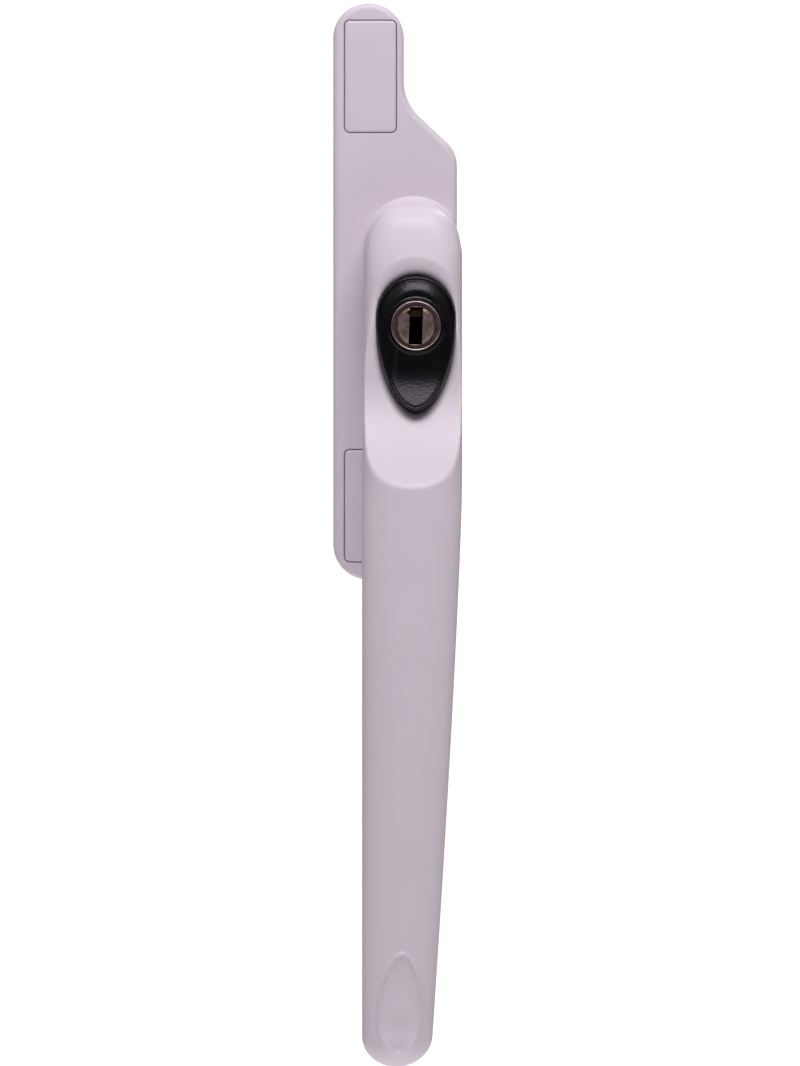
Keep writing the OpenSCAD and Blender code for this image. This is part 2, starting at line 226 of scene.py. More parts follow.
def drawn_metal(name, pale, deep, rough, along, shade_below=None):
    """Metal with drawing lines one way and clouded plating, with painted shade below a height if asked.
    """
    f = new_finish(name)
    where = f.place()
    lines = f.noise(f.stretch(where, along), 60.0, 3.0, 0.6)
    cloud = f.noise(where, 180.0, 4.0)
    fleck = f.step(f.noise(where, 2400.0, 2.0), 0.62, 0.74)
    colour = f.blend(f.step(cloud, 0.3, 0.7), rgba(*deep), rgba(*pale))
    colour = f.blend(fleck * 0.25, colour, darker(deep, 0.6))
    if shade_below:
        # Painted shade: the colour goes near black below the first height and is its own above the
        # second.
        up = f.add("ShaderNodeSeparateXYZ", {}, {"Vector": where}, out="Z")
        unshaded = f.step(up, shade_below[0] * MM, shade_below[1] * MM)
        colour = f.blend(unshaded, UNDER_PAINTED_SHADE, colour)
    gloss = rough + 0.18 * lines + 0.1 * fleck
    normal = f.bump(lines, 0.15, 0.0001)
    return f.surface(Base_Color=colour, Metallic=1.0, Roughness=gloss, Normal=normal)


def plain_polymer(name, pale, deep, rough):
    """Unpainted moulding with a dull, slightly uneven skin."""
    f = new_finish(name)
    where = f.place()
    cloud = f.noise(where, 240.0, 4.0)
    skin = f.noise(where, 1600.0, 2.0)
    colour = f.blend(f.step(cloud, 0.3, 0.7), rgba(*deep), rgba(*pale))
    return f.surface(Base_Color=colour, Roughness=rough + 0.1 * skin, Normal=f.bump(skin, 0.1, 0.0002))


LOCK_X, LOCK_Z = 0.6, -16.5
enamel = white_enamel("sprayed_enamel", (0.80, 0.71, 0.79), (0.78, 0.69, 0.768), 0.4)
cover_skin = white_enamel("cover_skin", (0.79, 0.705, 0.79), (0.765, 0.68, 0.76), 0.44)
jet = black_moulding("black_moulding")
nickel = turned_metal("satin_nickel", (0.62, 0.475, 0.465), (0.36, 0.255, 0.25), (LOCK_X, LOCK_Z), 0.2)
# The wafers get painted shade on their lower part, below the lock's axis.
wafer_metal = drawn_metal(
    "wafer_brass", (0.15, 0.075, 0.04), (0.07, 0.035, 0.02), 0.42, (40, 400, 40), (-18.5, -16.0)
)
zinc = drawn_metal("zinc_plate", (0.66, 0.68, 0.70), (0.50, 0.52, 0.55), 0.26, (90, 4, 90))
spring = drawn_metal("spring_steel", (0.40, 0.41, 0.45), (0.24, 0.25, 0.29), 0.26, (60, 60, 8))
nylon = plain_polymer("bush_nylon", (0.80, 0.80, 0.75), (0.72, 0.72, 0.66), 0.45)

for node, finish in {
    "bearing_bush": nylon, "detent_springs": spring, "back_cover": zinc, "cover_screws": zinc,
    "spindle": zinc, "spindle_pin": spring, "detent_cam": zinc, "wave_washer": spring,
    "retaining_ring": spring, "cylinder_clip": spring, "bolt_keeper": zinc,
    "keeper_screws": zinc, "wafers": wafer_metal, "lock_cam": zinc, "locking_bolt": zinc,
}.items():
    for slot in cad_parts[node].material_slots:
        slot.material = finish


# ---------- mesh building ----------


def smooth(t):
    """Eases from 0 to 1 as t does."""
    t = max(0.0, min(1.0, t))
    return t * t * (3 - 2 * t)


def eased_down(z, start, run):
    """0 above the start height and 1 once z is the whole run below it."""
    return smooth((start - z) / run)


def signed(v, p):
    """A power that keeps the sign of its base."""
    return math.copysign(abs(v) ** p, v)


def soft_min(a, b, k):
    """The lower of a and b, blended over a width of about k."""
    h = max(0.0, min(1.0, 0.5 + 0.5 * (b - a) / k))
    return b * (1 - h) + a * h - k * h * (1 - h)


def soft_ramp(t, bend):
    """0 below and t above, with the turn rounded over about bend."""
    return bend * math.log(1 + math.exp(t / bend))


def quarter_turn(step=10):
    """Angles from 0 to 90 degrees, for a rounded edge."""
    return [math.radians(a) for a in range(0, 91, step)]


def circle(r, depth, x, z, steps):
    """Points of (x, depth, z) round a line along Y."""
    turn = [2 * math.pi * i / steps for i in range(steps)]
    return [(x + r * math.cos(a), depth, z + r * math.sin(a)) for a in turn]


def scaled(outline, depth, x, z, across, along):
    """An outline about (x, z), scaled and set at one depth."""
    return [(x + (px - x) * across, depth, z + (pz - z) * along) for px, pz in outline]


def skin(bm, rings, caps=(True, True)):
    """Joins closed rings of (x, depth, z) points with quads."""
    rows = [[bm.verts.new((x * MM, -d * MM, z * MM)) for x, d, z in ring] for ring in rings]
    n = len(rows[0])
    for a, b in zip(rows, rows[1:]):
        for j in range(n):
            bm.faces.new((a[j], a[(j + 1) % n], b[(j + 1) % n], b[j]))
    if caps[0]:
        bm.faces.new(rows[0][::-1])
    if caps[1]:
        bm.faces.new(rows[-1])


def revolve(bm, profile, x=0.0, z=0.0, steps=96):
    """Turns a list of (radius, depth) points about a line along Y."""
    skin(bm, [circle(r, d, x, z, steps) for r, d in profile])


def tube(bm, profile, x, z, steps):
    """Turns a closed loop of (radius, depth) points into a ring."""
    skin(bm, [circle(r, d, x, z, steps) for r, d in profile + profile[:1]], caps=(False, False))
    bmesh.ops.remove_doubles(bm, verts=bm.verts, dist=WELD)


def slab(bm, outline, layers):
    """A stack of an outline's layers, each given as (inset, depth)."""
    skin(bm, [[(x, d, z) for x, z in outline(t)] for t, d in layers])


def box(bm, w, h, d0, d1, x=0.0, z=0.0):
    """A block of width w and height h about (x, z), from depth d0 to d1."""
    corners = ((-1, -1), (1, -1), (1, 1), (-1, 1))
    skin(bm, [[(x + sx * w / 2, d, z + sz * h / 2) for sx, sz in corners] for d in (d0, d1)])


def new_mesh(name, build):
    bm = bmesh.new()
    build(bm)
    bmesh.ops.recalc_face_normals(bm, faces=bm.faces)
    mesh = bpy.data.meshes.new(name)
    bm.to_mesh(mesh)
    bm.free()
    obj = bpy.data.objects.new(name, mesh)
    bpy.context.scene.collection.objects.link(obj)
    return obj


def carve(obj, cutters, operation="DIFFERENCE"):
    """Cuts or joins each cutter and keeps the result as the mesh."""
    for cutter in cutters:
        tool = new_mesh(obj.name + "_tool", cutter)
        mod = obj.modifiers.new("carve", "BOOLEAN")
        mod.operation = operation
        mod.solver = "EXACT"
        mod.object = tool
        bpy.context.view_layer.update()
        graph = bpy.context.evaluated_depsgraph_get()
        result = bpy.data.meshes.new_from_object(obj.evaluated_get(graph))
        obj.modifiers.remove(mod)
        obj.data = result
        bpy.data.objects.remove(tool)
    return obj


def finish_piece(obj, material, body, stands_for, sharp=32.0):
    """Smooths a piece between its sharp edges, paints it and hangs it on its body."""
    bm = bmesh.new()
    bm.from_mesh(obj.data)
    bmesh.ops.remove_doubles(bm, verts=bm.verts, dist=2 * WELD)
    limit = math.radians(sharp)
    for face in bm.faces:
        face.smooth = True
    for edge in bm.edges:
        edge.smooth = edge.calc_face_angle(math.pi) < limit
    bm.to_mesh(obj.data)
    bm.free()
    obj.data.materials.clear()
    obj.data.materials.append(material)
    mod = obj.modifiers.new("even_normals", "WEIGHTED_NORMAL")
    mod.keep_sharp = True
    mod.weight = 60
    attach(obj, body)
    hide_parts(*stands_for)
    return obj


# ---------- backplate ----------

PLATE_LEN, PLATE_LEFT, PLATE_T, PLATE_Z = 119.4, 16.5, 5.0, -9.2
EDGE_R = 1.4
LOBE_R = 7.3
LOBE_X = LOBE_R - PLATE_LEFT
LOBE_Z = PLATE_LEN / 2 - LOBE_R
WAIST_R, SHOULDER_R, WAIST_A = 10.0, 7.0, math.radians(47)
WAIST_Z = 43.5
PLATE_RIGHT = 9.1
SCREW_X, SCREW_DZ = LOBE_X + 0.4, 45.0
COVER_W, COVER_L, COVER_DZ, COVER_GAP = 10.6, 23.1, 44.4, 0.3
POCKET_D, POCKET_CORNER, POCKET_HALF_W, POCKET_HALF_L = PLATE_T - 1.4, 1.15, 5.4, 11.7
COVER_EDGE_R, COVER_EDGE_D = 0.5, PLATE_T - 0.34
LATCH_IN = 1.6
SPRING_X, SPRING_W, SPRING_T, SPRING_DZ = -2.2, 19.8, 2.8, 7
BACK_X, BACK_SCREW_DZ = -2.65, 11.2
NOTCH_W, NOTCH_L = 5.3, 9
BORE_STEPS = ((8.8, -1, 4.6), (7.3, 4.0, 8.3), (6.5, 4.0, 12.0))
SHANK_HOLE_R, SINK_R = 2.75, 4.8
BOSS_R, BOSS_H, BOSS_EDGE_R, SKIRT_R = 9.8, 8.5, 0.8, 0.95
SPIGOT_R, SPIGOT_H = 7.7, 11.0
NECK_R, NECK_SQUARE, NECK_FRONT = 6.3, 8.9, 14.0
SPINDLE_HOLE = 7.04


def arc(cx, cz, r, a0, a1, n):
    turn = [a0 + (a1 - a0) * i / n for i in range(n + 1)]
    return [(cx + r * math.cos(a), cz + r * math.sin(a)) for a in turn]


def plate_outline(t):
    """The plate's outline inset by t: a lobe at each end, joined to the wide middle by S-curves."""
    span = PLATE_RIGHT - (LOBE_X + LOBE_R)
    line = (span - (WAIST_R + SHOULDER_R) * (1 - math.cos(WAIST_A))) / math.sin(WAIST_A)
    drop = (WAIST_R + SHOULDER_R) * math.sin(WAIST_A) + line * math.cos(WAIST_A)
    half = arc(LOBE_X, LOBE_Z, LOBE_R - t, math.pi, 0, 40)
    half += arc(LOBE_X + LOBE_R + WAIST_R, WAIST_Z, WAIST_R + t, math.pi, math.pi + WAIST_A, 14)
    half += arc(PLATE_RIGHT - SHOULDER_R, WAIST_Z - drop, SHOULDER_R - t, WAIST_A, 0, 14)
    upper = [(x, PLATE_Z + z) for x, z in half]
    return upper + [(x, PLATE_Z - z) for x, z in reversed(half)]


def round_rect(w, h, r, x, z, steps=8):
    """A rounded rectangle about (x, z), as a function of its inset."""
    def outline(t):
        points = []
        for sx, sz, a in ((1, 1, 0), (-1, 1, 90), (-1, -1, 180), (1, -1, 270)):
            cx, cz = x + sx * (w / 2 - r), z + sz * (h / 2 - r)
            points += arc(cx, cz, max(0.05, r - t), math.radians(a), math.radians(a + 90), steps)
        return points
    return outline


def plate_solid(bm):
    r = EDGE_R
    rim = [(r * (1 - math.cos(a)), PLATE_T - r + r * math.sin(a)) for a in quarter_turn()]
    slab(bm, plate_outline, [(0.3, 0.0), (0.01, 0.3)] + [(max(0.01, t), d) for t, d in rim])


def boss_skirt(bm):
    """The hollow fillet between the plate and its boss."""
    foot = PLATE_T - 0.02
    profile = [(BOSS_R + SKIRT_R, PLATE_T - 0.8)]
    for a in quarter_turn():
        profile.append((BOSS_R + SKIRT_R * (1 - math.sin(a)), foot + SKIRT_R * (1 - math.cos(a))))
    revolve(bm, profile)


def skirt_limit(bm):
    """Keeps the fillet inside the plate's edge."""
    slab(bm, plate_outline, [(1.0, 1.0), (1.0, 12.0)])


def boss_drum(bm):
    """The round boss with a rolled edge and the spigot that the lever turns on."""
    e = BOSS_EDGE_R
    edge = [(BOSS_R - e + e * math.cos(a), BOSS_H - e + e * math.sin(a)) for a in quarter_turn()]
    top = [(SPIGOT_R + 0.1, BOSS_H), (SPIGOT_R, BOSS_H + 0.1), (SPIGOT_R, SPIGOT_H - 0.2)]
    revolve(bm, [(BOSS_R, 0.0)] + edge + top + [(SPIGOT_R - 0.2, SPIGOT_H)])


def screw_pocket(side):
    z = PLATE_Z + side * COVER_DZ
    mouth = round_rect(COVER_W + COVER_GAP, COVER_L + COVER_GAP, POCKET_CORNER, SCREW_X, z)(0)
    flare = [(0.0, POCKET_D), (0.0, COVER_EDGE_D), (0.09, PLATE_T - 0.12)]
    flare += [(0.3, PLATE_T + 0.01), (0.3, PLATE_T + 1)]
    rings = []
    for out, d in flare:
        rings.append(scaled(mouth, d, SCREW_X, z, 1 + out / POCKET_HALF_W, 1 + out / POCKET_HALF_L))
    return lambda bm: skin(bm, rings)


def countersink(side):
    profile = [(SHANK_HOLE_R, -1), (SHANK_HOLE_R, 1.25), (SINK_R, 3.4), (SINK_R, 3.8)]
    return lambda bm: revolve(bm, profile, SCREW_X, PLATE_Z + side * SCREW_DZ, 64)


def clip_slot(side, end):
    z = PLATE_Z + side * COVER_DZ + end * (COVER_L / 2 - LATCH_IN)
    return lambda bm: box(bm, 3.2, 1.7, 1.6, 4.2, SCREW_X, z)


def make_backplate():
    """The plate joined to its boss, then cut for covers, screws, bush, springs and bolt notches."""
    obj = new_mesh("backplate_casting", plate_solid)
    skirt = new_mesh("boss_skirt", boss_skirt)
    carve(skirt, [skirt_limit], "INTERSECT")
    carve(obj, [lambda bm: bm.from_mesh(skirt.data), boss_drum], "UNION")
    bpy.data.objects.remove(skirt)
    cuts = [screw_pocket(s) for s in (1, -1)]
    cuts += [countersink(s) for s in (1, -1)]
    cuts += [clip_slot(s, e) for s in (1, -1) for e in (1, -1)]
    for r, back, front in BORE_STEPS:
        cuts.append(lambda bm, hole=((r, back), (r, front)): revolve(bm, hole))
    for s in (1, -1):
        cuts.append(lambda bm, s=s: box(bm, SPRING_W, SPRING_T, -1, 4.3, SPRING_X, s * SPRING_DZ))
        cuts.append(lambda bm, s=s: revolve(bm, [(0.9, -1), (0.9, 3.6)], BACK_X, s * BACK_SCREW_DZ, 32))
    cuts.append(lambda bm: slab(bm, round_rect(21.4, 26.4, 1.6, BACK_X, 0), [(0, -1), (0, 0.85)]))
    cuts.append(lambda bm: box(bm, NOTCH_W, NOTCH_L, BOSS_H + 0.02, 12, 0, -SPIGOT_R))
    cuts.append(lambda bm: box(bm, NOTCH_L, NOTCH_W, BOSS_H + 0.02, 12, SPIGOT_R, 0))
    carve(obj, cuts)
    finish_piece(obj, enamel, "plate", ["backplate"])


def make_cover(name, side):
    """A snap-in cover with a rolled edge, a slightly crowned face and two latches behind."""
    z = PLATE_Z + side * COVER_DZ
    half_w, half_l = COVER_W / 2, COVER_L / 2

    def build(bm):
        shape = round_rect(COVER_W, COVER_L, 1.0, SCREW_X, z, 10)(0)
        edge = [(0.0, POCKET_D + 0.05)]
        for a in quarter_turn(15):
            edge.append((COVER_EDGE_R * (1 - math.cos(a)), COVER_EDGE_D + COVER_EDGE_R * math.sin(a)))
        rings = [scaled(shape, d, SCREW_X, z, 1 - t / half_w, 1 - t / half_l) for t, d in edge]
        for k in (0.86, 0.76, 0.6, 0.35, 0.12):
            crown = PLATE_T + 0.16 + 0.14 * (1 - k * k)
            rings.append(scaled(shape, crown, SCREW_X, z, k, k))
        skin(bm, rings)
        for end in (1, -1):
            box(bm, 3.0, 0.9, 1.9, POCKET_D + 0.1, SCREW_X, z + end * (half_l - LATCH_IN))
            box(bm, 3.0, 1.4, 1.9, 2.4, SCREW_X, z + end * (half_l - 1.5))
    obj = new_mesh(name + "_moulding", build)
    finish_piece(obj, cover_skin, "plate", [name], 40)


THREAD_TOP, THREAD_LEN, THREAD_PITCH = 0.9, 38.6, 0.8
THREAD_ROOT, THREAD_DEEP, THREAD_STEPS = 2.06, 0.44, 28
TIP_D, TIP_RUN, TIP_SHARE = -37.6, 2.2, 0.55
RECESS_L, RECESS_W, RECESS_D = 4.8, 1.1, 2.1


def thread_ring(d, z):
    """One turn of points down a screw, following the thread and narrowing to its tip."""
    tip = TIP_SHARE + (1 - TIP_SHARE) * smooth((d - TIP_D) / TIP_RUN)
    ring = []
    for j in range(THREAD_STEPS):
        a = 2 * math.pi * j / THREAD_STEPS
        phase = (d / THREAD_PITCH - j / THREAD_STEPS) % 1.0
        crest = 1 - abs(2 * phase - 1)
        r = (THREAD_ROOT + THREAD_DEEP * crest) * tip
        ring.append((SCREW_X + r * math.cos(a), d, z + r * math.sin(a)))
    return ring


def make_fixing_screws():
    head = ((2.5, 1.2), (2.5, 1.4), (4.42, 3.3), (4.5, 3.34), (4.5, 3.44), (4.42, 3.5))
    rows = int(THREAD_LEN / THREAD_PITCH * 8)

    def build(bm):
        for side in (1, -1):
            z = PLATE_Z + side * SCREW_DZ
            rings = [thread_ring(THREAD_TOP - i * THREAD_LEN / rows, z) for i in range(rows, -1, -1)]
            rings += [circle(r, d, SCREW_X, z, THREAD_STEPS) for r, d in head]
            skin(bm, rings)
    obj = new_mesh("fixing_screw_pair", build)
    cuts = []
    for side in (1, -1):
        z = PLATE_Z + side * SCREW_DZ
        for w, h in ((RECESS_L, RECESS_W), (RECESS_W, RECESS_L)):
            cuts.append(lambda bm, w=w, h=h, z=z: box(bm, w, h, RECESS_D, 4, SCREW_X, z))
    carve(obj, cuts)
    finish_piece(obj, zinc, "plate", ["fixing_screws"], 60)


# ---------- lever ----------

HUB_W, HUB_TOP, HUB_FRONT, HUB_BACK = 10.14, 9.3, 24.0, 8.8
GRIP_FRONT, GRIP_T, LEVER_LOW = 37.04, 11.84, 169.2
GRIP_LEFT, GRIP_RIGHT, GRIP_RIGHT_LOW = 10.5, 10.1, 4.0
END_R = 6.3
END_Z = END_R - LEVER_LOW
DOME_Z, DOME_FALL, DOME_CURVE = -2.2, 11.2, 10
HUB_CROWN, HUB_SLOPE, HUB_SLOPE_Z, HUB_SLOPE_BEND = 0.5, 0.3, -5, 1.8
SCOOP_TOP, SCOOP_RUN, SCOOP_DEEP, SCOOP_CURVE = -27, 22.5, 12.8, 1.8
TAPER_TOP, TAPER_RUN, TAPER_CURVE = -50, 113, 1.25
END_BACK_RISE, END_FRONT_FALL = 4.8, 5.2
BEZEL_TOP, BEZEL_HALF, BEZEL_LOW, BEZEL_MID = 10.3, 8.1, 17.75, 1.65
POCKET_FLOOR = 21.0


def dome(z):
    """0 below the domed end of the hub and 1 at its top."""
    return max(0.0, min(1.0, (z - DOME_Z) / (HUB_TOP - DOME_Z)))


def tail(z):
    """0 above the rounded end of the grip and 1 at its bottom."""
    return max(0.0, min(1.0, (END_Z - z) / END_R))


def scoop(z):
    """Depth of the flat face that sweeps out of the hub into the grip."""
    return HUB_FRONT + SCOOP_DEEP * max(0.0, (SCOOP_TOP - z) / SCOOP_RUN) ** SCOOP_CURVE


def left_edge(z):
    return -HUB_W - (GRIP_LEFT - HUB_W) * eased_down(z, -34, 12)


def right_edge(z):
    taper = max(0.0, (TAPER_TOP - z) / TAPER_RUN) ** TAPER_CURVE
    return HUB_W - (HUB_W - GRIP_RIGHT) * eased_down(z, -44, 8) - (GRIP_RIGHT - GRIP_RIGHT_LOW) * taper


def half_width(z):
    round_off = math.sqrt(max(0.0004, 1 - dome(z) ** 2)) * math.sqrt(max(0.0004, 1 - tail(z) ** 2))
    return (right_edge(z) - left_edge(z)) / 2 * round_off


def lever_back(z):
    rise = GRIP_FRONT - GRIP_T - HUB_BACK
    b = HUB_BACK + rise * eased_down(z, -30, 30)
    return b + END_BACK_RISE * tail(z) ** 2.2 + 0.5 * eased_down(z, -60, 80)


def hub_drop(z):
    """How far the hub's flat face has fallen back on its way up to the domed end."""
    return HUB_SLOPE * soft_ramp(z - HUB_SLOPE_Z, HUB_SLOPE_BEND)


def lever_front(z):
    rise = GRIP_FRONT - HUB_FRONT - HUB_CROWN
    f = HUB_FRONT + HUB_CROWN + rise * eased_down(z, -8, 34) + 0.8 * eased_down(z, -60, 80)
    return f - hub_drop(z) - DOME_FALL * dome(z) ** DOME_CURVE - END_FRONT_FALL * tail(z) ** 2.4


def grip_mix(z):
    """0 in the squared hub and 1 in the rounded grip."""
    return eased_down(z, -24, 20)


def bezel_radius(a):
    """Distance from the lock's axis to the bezel's edge at angle a."""
    lo, hi = 0.0, 24.0
    for _ in range(26):
        mid = (lo + hi) / 2
        if bezel_inside(mid * math.cos(a), mid * math.sin(a)):
            lo = mid
        else:
            hi = mid
    return lo


def bezel_inside(x, z):
    """Whether a point, taken from the lock's axis, lies inside the egg-shaped edge."""
    v = z - BEZEL_MID
    h = BEZEL_TOP - BEZEL_MID if v > 0 else BEZEL_LOW + BEZEL_MID
    s = v / h
    if abs(s) >= 1:
        return False
    c = (1 - s * s) ** (0.5 if v > 0 else 0.56)
    return abs(x) < BEZEL_HALF * c


EDGE_STEPS = 360
BEZEL_EDGE = [bezel_radius(2 * math.pi * i / EDGE_STEPS) for i in range(EDGE_STEPS)]


def beyond_bezel(x, z):
    """How far a point lies outside the bezel's edge, and the sine of its angle."""
    dx, dz = x - LOCK_X, z - LOCK_Z
    dist = math.hypot(dx, dz)
    a = math.atan2(dz, dx) / (2 * math.pi) * EDGE_STEPS
    i = math.floor(a)
    r = BEZEL_EDGE[i % EDGE_STEPS] * (1 - (a - i)) + BEZEL_EDGE[(i + 1) % EDGE_STEPS] * (a - i)
    return dist - r, dz / max(dist, 1e-6)


COVE_HIGHEST, COVE_LOWEST = 1, -42
COVE_WIDTH, COVE_DEPTH = 1.3, 0.9
MORE_ABOVE, MORE_BELOW = (2.5, 1.9), (2.2, 3.0)


def cove(x, z):
    """Depth of the rolled-in edge round the lock opening, with the faint lip where it starts."""
    if z > COVE_HIGHEST or z < COVE_LOWEST:
        return 0.0
    e, s = beyond_bezel(x, z)
    wider, deeper = MORE_ABOVE if s > 0 else MORE_BELOW
    width = COVE_WIDTH + wider * s * s
    deep = COVE_DEPTH + deeper * s * s
    t = min(1.0, max(0.0, e) / width)
    lip = 0.13 * s * s * math.exp(-((e - width) / 0.55) ** 2) if s > 0 else 0.0
    return deep * (1 - math.sqrt(1 - (1 - t) ** 2)) - lip


DISH_X, DISH_Z, DISH_W, DISH_UP, DISH_DOWN = -2.75, -159.0, 4.4, 13.0, 7.2
DISH_LEAN, DISH_POINT, DISH_MARGIN = 0.045, 0.3, 1.5
DISH_RIM, DISH_RIM_W = 0.44, 0.4


def dish_reach(x, z):
    """0 in the middle of the thumb dish and 1 on its rim; the upper end is more pointed."""
    u = abs(x - DISH_X - DISH_LEAN * (z - DISH_Z)) / DISH_W
    length = DISH_UP if z > DISH_Z else DISH_DOWN
    power = 2 - DISH_POINT * smooth((z - DISH_Z) / 5)
    return math.sqrt(u ** power + ((z - DISH_Z) / length) ** 2)


def thumb_dish(x, z):
    """Depth of the thumb dish near the grip's end, with its raised rim and flat floor."""
    if z > DISH_Z + DISH_UP + DISH_MARGIN or z < DISH_Z - DISH_DOWN - DISH_MARGIN:
        return 0.0
    r = dish_reach(x, z)
    nudge = 0.05
    slope = math.hypot(dish_reach(x + nudge, z) - r, dish_reach(x, z + nudge) - r) / nudge
    e = (1 - r) / max(slope, 0.05)
    rim = DISH_RIM * math.exp(-((e + 0.05) / DISH_RIM_W) ** 2)
    if r >= 1:
        return -rim
    bowl = 1.6 * (1 - r * r) ** 0.8
    floor = 1.3 - 0.03 * (-152 - z) + 0.6 * eased_down(z, -157.5, 5.5)
    return min(bowl, floor) - rim


SECTION_FINE, SECTION_POINTS = 720, 184
SCOOP_BLEND = 0.9


def lever_section(z, m):
    """The lever's cross-section at a height, about its middle depth m."""
    cx = (left_edge(z) + right_edge(z)) / 2
    w, b, f = half_width(z), lever_back(z), lever_front(z)
    mix = grip_mix(z)
    front_n, back_n = 3.2 - 1.1 * mix, 5 - 2.4 * mix
    spread = 0.35 * (1 - mix)
    section = []
    for i in range(SECTION_FINE):
        a = -2 * math.pi * (i + 0.5) / SECTION_FINE
        c, s = math.cos(a), math.sin(a)
        p = front_n if s > 0 else back_n
        x = cx + w * signed(c, 2 / p)
        if s > 0:
            d = m + (f - m) * signed(s, 2 / p)
            if z < DOME_Z + 4:
                d = soft_min(d, scoop(z), SCOOP_BLEND)
        else:
            d = max(b, m + (m - b + spread) * signed(s, 2 / p))
        section.append((x, d))
    return section


def even_points(loop, count):
    """Points at equal distances along a closed loop."""
    after = loop[1:] + loop[:1]
    length = [0.0]
    for p, q in zip(loop, after):
        length.append(length[-1] + math.hypot(q[0] - p[0], q[1] - p[1]))
    points, k = [], 0
    for j in range(count):
        goal = length[-1] * j / count
        while length[k + 1] < goal:
            k += 1
        t = (goal - length[k]) / max(1e-9, length[k + 1] - length[k])
        p, q = loop[k], after[k]
        points.append((p[0] + (q[0] - p[0]) * t, p[1] + (q[1] - p[1]) * t))
    return points


def lever_ring(z):
    """One closed ring of the lever, with the lock's cove and the thumb dish pressed into its front."""
    front = lever_front(z)
    m = (lever_back(z) + front) / 2
    ring = []
    for x, d in even_points(lever_section(z, m), SECTION_POINTS):
        if d > m:
            facing = smooth((d - m) / (0.35 * max(0.1, front - m)))
            d = max(min(d, POCKET_FLOOR + 0.1), d - facing * (cove(x, z) + thumb_dish(x, z)))
        ring.append((x, d, z))
    return ring


DOME_ANGLES = (88.5, 86, 83, 80, 76, 72, 67, 62, 57, 51, 45, 38, 31, 24, 17, 10, 4)
HUB_STEP, GRIP_STEP, DISH_STEP = 0.4, 1.5, 0.32


def lever_stations():
    """Heights of the rings: close together at the hub, scoop and thumb dish, wide apart in the grip."""
    top = [DOME_Z + (HUB_TOP - DOME_Z) * math.sin(math.radians(a)) for a in DOME_ANGLES]
    hub = [DOME_Z - HUB_STEP * i for i in range(0, 108)]
    slope = [hub[-1] - HUB_STEP * i for i in range(1, 31)]
    z = slope[-1]
    lower = []
    while z > END_Z + 0.3:
        z -= GRIP_STEP if z > -143 else DISH_STEP
        lower.append(z)
    end = [END_Z - END_R * math.sin(math.radians(a)) for a in range(4, 87, 4)]
    return top + hub + slope + lower + end


def lock_pocket(bm):
    """The opening that the bezel sits in, a little wider than the bezel above and below."""
    ring = []
    for i in range(0, EDGE_STEPS, 2):
        a = -2 * math.pi * i / EDGE_STEPS
        r = BEZEL_EDGE[-i % EDGE_STEPS] + 0.2 + 0.16 * math.sin(a) ** 2
        ring.append((LOCK_X + r * math.cos(a), LOCK_Z + r * math.sin(a)))
    skin(bm, [[(x, d, z) for x, z in ring] for d in (POCKET_FLOOR, 32)])


def make_neck():
    """The round neck behind the hub, ending in a square that stays within the neck's radius."""
    neck = new_mesh("neck", lambda bm: revolve(bm, [(NECK_R, 4.6), (NECK_R, NECK_FRONT)]))
    carve(neck, [lambda bm: box(bm, NECK_SQUARE, NECK_SQUARE, 0.95, 5.2)], "UNION")
    return carve(neck, [lambda bm: revolve(bm, [(NECK_R, 0), (NECK_R, NECK_FRONT + 1)])], "INTERSECT")


BARREL_HOLE_R, CLIP_SPACE_R = 5.15, 5.9


def make_lever():
    """The casting, hollowed for the lock, spigot, bolt and keeper, then joined to its neck."""
    obj = new_mesh("lever_casting", lambda bm: skin(bm, [lever_ring(z) for z in lever_stations()]))
    bore = SPIGOT_R + 0.25
    carve(obj, [
        lock_pocket,
        lambda bm: revolve(bm, [(bore, 5), (bore, SPIGOT_H + 0.3)]),
        lambda bm: revolve(bm, [(BARREL_HOLE_R, 9), (BARREL_HOLE_R, 26)], LOCK_X, LOCK_Z),
        lambda bm: revolve(bm, [(CLIP_SPACE_R, 5), (CLIP_SPACE_R, 13.6)], LOCK_X, LOCK_Z),
        lambda bm: box(bm, 5.4, 8, 5, SPIGOT_H + 0.1, 0, -11),
        lambda bm: box(bm, 13.4, 15.4, 5, 9.35, LOCK_X - 0.2, -16.2),
    ])
    neck = make_neck()
    carve(obj, [lambda bm: bm.from_mesh(neck.data)], "UNION")
    bpy.data.objects.remove(neck)
    carve(obj, [lambda bm: box(bm, SPINDLE_HOLE, SPINDLE_HOLE, 0, 16)])
    finish_piece(obj, enamel, "handle", ["lever"], 38)


# ---------- lock ----------


BEZEL_FRONT, TIP_Z, TIP_CLIMB = 25.0, -27, 0.42


def bezel_height(x, z):
    """Front of the black bezel: rolled rim, crowned top, collar round the lock and rising tip."""
    e, s = beyond_bezel(x, z)
    inside = -e
    r = math.hypot(x - LOCK_X, z - LOCK_Z)
    base = BEZEL_FRONT + TIP_CLIMB * soft_ramp(TIP_Z - z, 1.0)
    upper = smooth((s + 0.7) / 1.4)
    edge_drop = 0.3 + 1.1 * upper
    reach = 1.1 + 2.4 * upper
    drop = edge_drop * (1 - smooth(inside / reach))
    rim = 0.30 * math.exp(-((inside - 0.36) / 0.22) ** 2)
    gutter = (0.06 + 0.1 * upper) * math.exp(-((inside - 0.85) / 0.25) ** 2)
    collar = 0.22 * smooth((6.0 - r) / 0.25)
    return base - drop + rim - gutter + collar


